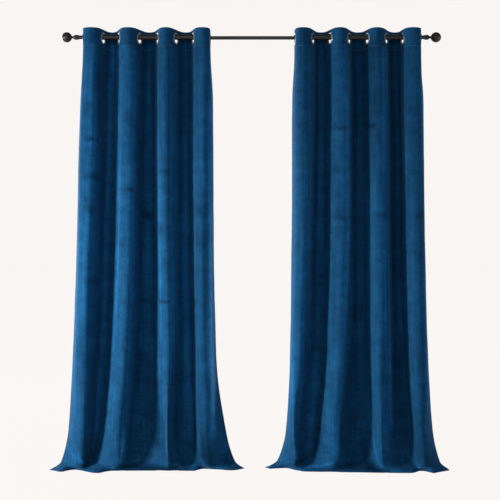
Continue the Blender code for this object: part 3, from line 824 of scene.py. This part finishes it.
def foot_hem(side, points, normals, backing):
    """The blind-sewn hem behind the foot of the cloth, between its side hems."""
    behind = (CLOTH + TURNED_CLOTH) / 2.0 + 2.0 * HEM_GAP + TURNED_CLOTH
    rows = points[:, 0, 2] < FLOOR + FOOT_HEM
    return backed_strip(f"foot_hem_{side}", points[rows] - behind * normals[rows], backing)


def backed_strip(name, grid, backing):
    """A thin strip of turned cloth."""
    strip = link(name, sheet_mesh(name, grid), backing, backing)
    thicken(strip, TURNED_CLOTH)
    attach(strip, "root")
    return strip


def stitches(name, line, normals, thread):
    """A row of stitches along a line of the cloth's front, each a small tapered bead of thread."""
    lengths = run_lengths(line)
    starts = np.arange(STITCH_PITCH, lengths[-1] - STITCH_PITCH, STITCH_PITCH)
    shares = np.array([girth.along for girth in STITCH_GIRTHS])
    verts = []
    faces = []
    for start in starts:
        spots = along_cloth(line, lengths, start + shares * STITCH_LENGTH)
        outward = along_cloth(normals, lengths, [start])[0]
        forward = spots[-1] - spots[0]
        forward /= np.linalg.norm(forward)
        aside = np.cross(forward, outward)
        first = len(verts)
        for spot, girth in zip(spots, STITCH_GIRTHS):
            for n in range(STITCH_SIDES):
                turn = 2.0 * pi * n / STITCH_SIDES
                offset = cos(turn) * outward + sin(turn) * aside
                verts.append(spot + outward * CLOTH / 2.0 + STITCH_RADIUS * girth.size * offset)
        last = len(verts) - STITCH_SIDES
        for ring in range(first, last, STITCH_SIDES):
            for n in range(STITCH_SIDES):
                a = ring + n
                b = ring + (n + 1) % STITCH_SIDES
                faces.append((a, b, b + STITCH_SIDES, a + STITCH_SIDES))
        faces.append(tuple(range(first + STITCH_SIDES - 1, first - 1, -1)))
        faces.append(tuple(range(last, last + STITCH_SIDES)))
    data = bpy.data.meshes.new(name)
    data.from_pydata([tuple(v) for v in verts], [], faces)
    data.shade_smooth()
    row = link(name, data, thread)
    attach(row, "root")
    return row


def seams(side, points, normals, thread):
    """The stitches along the heading's seam, and along the turned edge on each side."""
    level = int(np.argmin(np.abs(points[:, 0, 2] - BAND_FOOT)))
    made = [stitches(f"stitches_{side}_heading", points[level], normals[level], thread)]
    inset = [SIDE_HEM - EDGE_SEAM_INSET]
    for edge in ("left", "right"):
        spots = []
        outward = []
        for line, row_normals, lengths in inward(edge, points, normals):
            spots.append(along_cloth(line, lengths, inset)[0])
            outward.append(along_cloth(row_normals, lengths, inset)[0])
        made.append(stitches(f"stitches_{side}_{edge}_edge", np.array(spots), np.array(outward), thread))
    return made


# Hard pieces

def turned_mesh(name, profile, steps, closed, sharp=35.0):
    """A mesh turned about Z from (radius, height) points; a closed profile makes a ring."""
    work = bmesh.new()
    verts = [work.verts.new((radius, 0.0, height)) for radius, height in profile]
    edges = [work.edges.new(pair) for pair in zip(verts, verts[1:])]
    if closed:
        edges.append(work.edges.new((verts[-1], verts[0])))
    bmesh.ops.spin(work, geom=verts + edges, cent=(0.0, 0.0, 0.0), axis=(0.0, 0.0, 1.0),
                   angle=2.0 * pi, steps=steps, use_merge=True)
    bmesh.ops.remove_doubles(work, verts=work.verts, dist=0.000001)
    bmesh.ops.recalc_face_normals(work, faces=work.faces)
    data = bpy.data.meshes.new(name)
    work.to_mesh(data)
    work.free()
    data.shade_smooth()
    data.set_sharp_from_angle(angle=sharp * pi / 180.0)
    return data


def facing(centre, axis):
    """A placement that stands a turned piece at centre with its own Z axis along axis."""
    return Matrix.Translation(centre) @ axis.to_track_quat("Z", "Y").to_matrix().to_4x4()


def arc(centre, radius, start, end, count):
    """Points of an arc, in degrees, as (radius from the axis, height) pairs."""
    angles = [(start + (end - start) * n / count) * pi / 180.0 for n in range(count + 1)]
    return [(centre[0] + radius * cos(a), centre[1] + radius * sin(a)) for a in angles]


def eyelet_mesh(metal):
    """A pressed ring: a rolled bore, and a domed flange on each side of the cloth."""
    bore = EYELET_BORE + BORE_ROLL
    rim = EYELET_FLANGE - RIM_ROLL
    tuck = EYELET_FLANGE - RIM_TUCK
    inner = EYELET_BORE + RING_SHOULDER
    outer = EYELET_FLANGE - RING_SHOULDER
    profile = [(EYELET_BARREL, -RING_GROOVE), (EYELET_BARREL, RING_GROOVE), (tuck, RING_GROOVE)]
    profile += arc((rim, RING_GROOVE + RIM_ROLL), RIM_ROLL, -60.0, 80.0, ROLL_STEPS)
    profile += [(outer, RING_FACE - RING_DOME), (inner, RING_FACE)]
    profile += arc((bore, RING_FACE - BORE_ROLL), BORE_ROLL, 100.0, 180.0, ROLL_STEPS)
    profile += arc((bore, BORE_ROLL - RING_FACE), BORE_ROLL, 180.0, 260.0, ROLL_STEPS)
    profile += [(inner, -RING_FACE), (outer, RING_DOME - RING_FACE)]
    profile += arc((rim, -RING_GROOVE - RIM_ROLL), RIM_ROLL, -80.0, 60.0, ROLL_STEPS)
    profile += [(tuck, -RING_GROOVE)]
    data = turned_mesh("eyelet_ring", profile, RING_STEPS, closed=True, sharp=60.0)
    data.materials.append(metal)
    return data


def eyelets(side, turns, data):
    """The rings of one panel, numbered from its left edge."""
    made = []
    for number, (centre, axis) in enumerate(eyelet_places(turns), start=1):
        ring = bpy.data.objects.new(f"ring_{side}_{number}", data)
        bpy.context.scene.collection.objects.link(ring)
        ring.matrix_world = facing(centre, axis)
        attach(ring, "root")
        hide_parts(f"eyelet_{side}_{number}")
        made.append(ring)
    return made


def tube(name, node, radius, bore, drop, black):
    """A tube with softened lips, where its CAD node lies."""
    low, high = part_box(node)
    start, end = low[0], high[0]
    length = end - start
    lip = TUBE_LIP * (radius - bore)
    profile = [(radius, lip), (radius, length - lip), (radius - lip, length), (bore + lip, length),
               (bore, length - lip), (bore, lip), (bore + lip, 0.0), (radius - lip, 0.0)]
    made = link(name, turned_mesh(name, profile, TURNED_STEPS, closed=True), black)
    made.matrix_world = facing(Vector((start, 0.0, -drop)), Vector((1.0, 0.0, 0.0)))
    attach(made, "root")
    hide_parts(node)
    return made


def finial(name, node, tube_node, black):
    """A ball on a turned neck, with a collar against the tube's end and a spigot in its bore."""
    low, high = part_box(node)
    tube_low, tube_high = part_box(tube_node)
    leftward = low[0] < tube_low[0]
    ball_axis = low[0] + BALL_RADIUS if leftward else high[0] - BALL_RADIUS
    tube_end = tube_low[0] if leftward else tube_high[0]
    reach = abs(ball_axis - tube_end) - FIT_GAP
    profile = [(0.0, -BALL_RADIUS)]
    profile += arc((0.0, 0.0), BALL_RADIUS, BALL_POLE, BALL_SHOULDER, BALL_STEPS)
    profile += NECK
    collar = reach - COLLAR_LENGTH
    profile += [
        (TAPER_RADIUS, collar - TAPER_END),
        (TAPER_RADIUS, collar),
        (OUTER_RADIUS - COLLAR_BEVEL, collar),
        (OUTER_RADIUS, collar + COLLAR_BEVEL),
        (OUTER_RADIUS, reach),
        (OUTER_BORE - FIT_GAP, reach),
        (OUTER_BORE - FIT_GAP, reach + SPIGOT_LENGTH),
        (0.0, reach + SPIGOT_LENGTH)]
    made = link(name, turned_mesh(name, profile, TURNED_STEPS, closed=False), black)
    toward_tube = 1.0 if leftward else -1.0
    made.matrix_world = facing(Vector((ball_axis, 0.0, 0.0)), Vector((toward_tube, 0.0, 0.0)))
    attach(made, "root")
    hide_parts(node)
    return made


# Camera, floor and light

CAMERA_PLACE = Vector((-0.006, -5.500, -1.023))
CAMERA_SENSOR = 36.0
VIEW_WIDTH = 2.405
FLOOR_REACH = 60.0
FLOOR_STEPS = 96
FLOOR_TAKES_LIGHT = 0.012
PAPER = (0.947, 0.913, 0.888)
AMBIENT = 0.34
AMBIENT_COLOUR = (0.97, 0.985, 1.0)

# Rectangular lights: a key in a narrow beam from the left, a weak fill from the front, a faint rim from
# the right, and a strong one behind on the left, which draws the folds' pale edges. Power is in watts
# and spread in degrees.
MIDDLE = (0.0, 0.0, -1.0)
Lamp = namedtuple("Lamp", ("name", "place", "aim", "size", "power", "colour", "spread"))
LAMPS = (
    Lamp("key", (-4.4, -2.0, -1.3), (-0.4, 0.0, -1.3), (0.8, 1.4), 74.0, (1.0, 0.90, 0.82), 60.0),
    Lamp("fill", (-0.8, -5.0, 0.4), MIDDLE, (2.4, 2.4), 88.0, (0.97, 0.98, 1.0), 180.0),
    Lamp("rim", (4.2, -0.7, -1.0), MIDDLE, (0.6, 2.2), 33.0, (0.96, 0.98, 1.0), 180.0),
    Lamp("back", (-3.6, 3.2, 0.2), MIDDLE, (1.6, 2.4), 230.0, (0.98, 0.99, 1.0), 180.0))


def camera():
    """A level camera, as far off as the photograph's perspective says."""
    data = bpy.data.cameras.new("camera")
    data.sensor_width = CAMERA_SENSOR
    data.angle = 2.0 * atan(VIEW_WIDTH / 2.0 / -CAMERA_PLACE.y)
    made = bpy.data.objects.new("camera", data)
    made.location = CAMERA_PLACE
    made.rotation_euler = (pi / 2.0, 0.0, 0.0)
    bpy.context.scene.collection.objects.link(made)
    bpy.context.scene.camera = made


def floor():
    """A wide pale floor under the hems, lit evenly enough to have no edge against the backdrop."""
    paper, _, shader = shader_of("paper")
    adjust(shader, Base_Color=(*(FLOOR_TAKES_LIGHT * part for part in PAPER), 1.0), Roughness=0.95,
           Specular_IOR_Level=0.0, Emission_Color=(*PAPER, 1.0), Emission_Strength=1.0)
    work = bmesh.new()
    bmesh.ops.create_circle(work, cap_ends=True, segments=FLOOR_STEPS, radius=FLOOR_REACH,
                            matrix=Matrix.Translation((0.0, 0.0, FLOOR - CLOTH)))
    data = bpy.data.meshes.new("floor")
    work.to_mesh(data)
    work.free()
    made = link("floor", data, paper)
    made.visible_diffuse = False


def area_light(lamp):
    """A soft rectangular light aimed at a point."""
    data = bpy.data.lights.new(lamp.name, "AREA")
    data.shape = "RECTANGLE"
    data.size, data.size_y = lamp.size
    data.energy = lamp.power
    data.color = lamp.colour
    data.spread = lamp.spread * pi / 180.0
    made = bpy.data.objects.new(lamp.name, data)
    made.location = lamp.place
    made.rotation_euler = (Vector(lamp.aim) - Vector(lamp.place)).to_track_quat("-Z", "Y").to_euler()
    bpy.context.scene.collection.objects.link(made)


def lights():
    """The lamps, and a dim even light from all round that the camera sees as pale paper."""
    world = bpy.data.worlds.new("studio")
    bpy.context.scene.world = world
    world.use_nodes = True
    tree = world.node_tree
    ambient = tree.nodes["Background"]
    adjust(ambient, Color=(*AMBIENT_COLOUR, 1.0), Strength=AMBIENT)
    seen = add(tree, "ShaderNodeBackground", Color=(*PAPER, 1.0), Strength=1.0)
    path = add(tree, "ShaderNodeLightPath")
    either = add(tree, "ShaderNodeMixShader")
    tree.links.new(path.outputs["Is Camera Ray"], either.inputs["Fac"])
    tree.links.new(ambient.outputs["Background"], either.inputs[1])
    tree.links.new(seen.outputs["Background"], either.inputs[2])
    tree.links.new(either.outputs["Shader"], tree.nodes["World Output"].inputs["Surface"])
    for lamp in LAMPS:
        area_light(lamp)


# The whole scene

bpy.context.scene.view_settings.view_transform = "Standard"
velvet = velvet_material()
backing = backing_material()
thread = thread_material()
metal = eyelet_material()
black = rod_material()
ring_data = eyelet_mesh(metal)
for side, turns, hem, creases, seed in PANELS:
    points, normals, nap_and_painted_light = cloth_surface(turns, hem, creases, seed)
    panel = curtain(side, turns, points, nap_and_painted_light, velvet, backing)
    rings = eyelets(side, turns, ring_data)
    sewn = seams(side, points, normals, thread)
    sewn += [side_hem(side, edge, points, normals, backing) for edge in ("left", "right")]
    sewn.append(foot_hem(side, points, normals, backing))
tube("tube_left", "rod_outer_left", OUTER_RADIUS, OUTER_BORE, 0.0, black)
tube("tube_right", "rod_outer_right", OUTER_RADIUS, OUTER_BORE, 0.0, black)
tube("tube_inner", "rod_inner", INNER_RADIUS, INNER_BORE, INNER_DROP, black)
finial("ball_left", "finial_left", "rod_outer_left", black)
finial("ball_right", "finial_right", "rod_outer_right", black)
camera()
floor()
lights()
